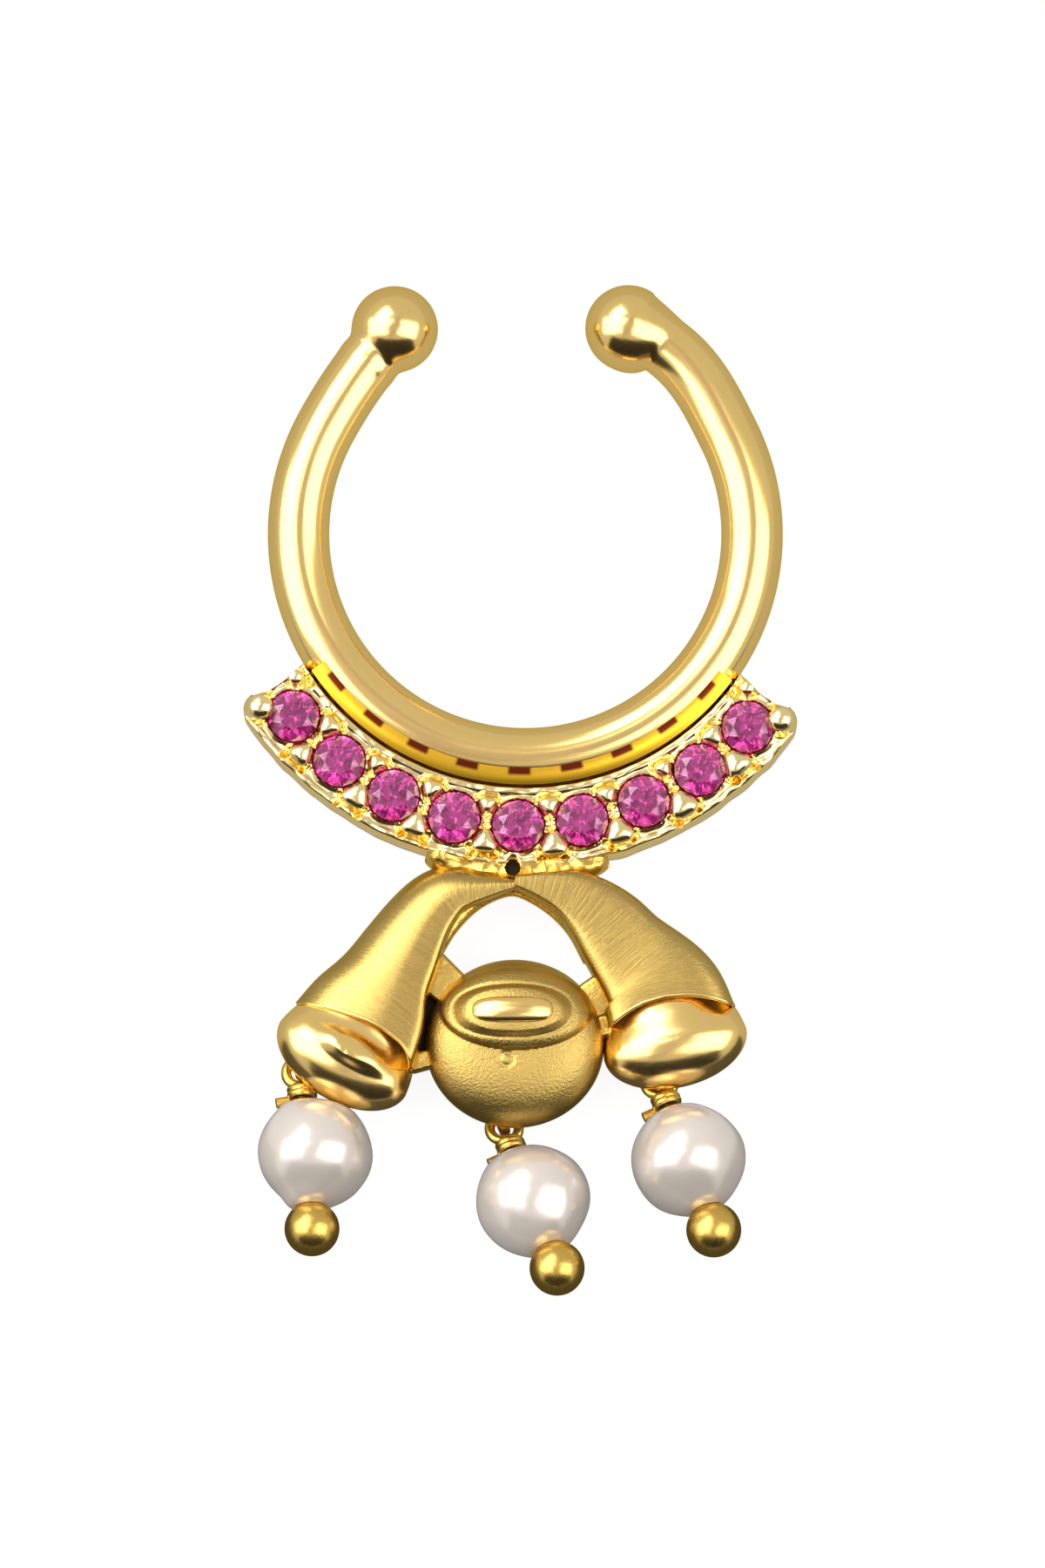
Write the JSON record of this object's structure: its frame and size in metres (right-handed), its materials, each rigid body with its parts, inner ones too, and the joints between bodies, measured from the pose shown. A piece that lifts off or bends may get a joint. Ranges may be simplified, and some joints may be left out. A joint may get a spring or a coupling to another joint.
{
  "type": "septum ring",
  "caption": "Clip-on septum ring: an open gold-plated C ring with ball ends, a crescent of round magenta stones, and three cast buds that carry small pearl drops.",
  "frame": {"origin": "middle of the piece's footprint, on the surface that it lies on", "axes": "+Y from the pearl drops to the open end of the ring, +Z out of the front of the piece, which faces up as it lies on its back"},
  "size_m": [0.0128, 0.0234, 0.0026],
  "materials": {
    "gold_plate": "polished and satin gold plate",
    "magenta_stone": "faceted, polished",
    "cream_pearl": "pearl lustre"
  },
  "bodies": {
    "root": {"gold_frame": "gold_plate", "stone_1": "magenta_stone", "stone_2": "magenta_stone", "stone_3": "magenta_stone", "stone_4": "magenta_stone", "stone_5": "magenta_stone", "stone_6": "magenta_stone", "stone_7": "magenta_stone", "stone_8": "magenta_stone", "stone_9": "magenta_stone", "pearl_left": "cream_pearl", "headpin_left": "gold_plate", "pearl_centre": "cream_pearl", "headpin_centre": "gold_plate", "pearl_right": "cream_pearl", "headpin_right": "gold_plate"}
  },
  "joints": []
}
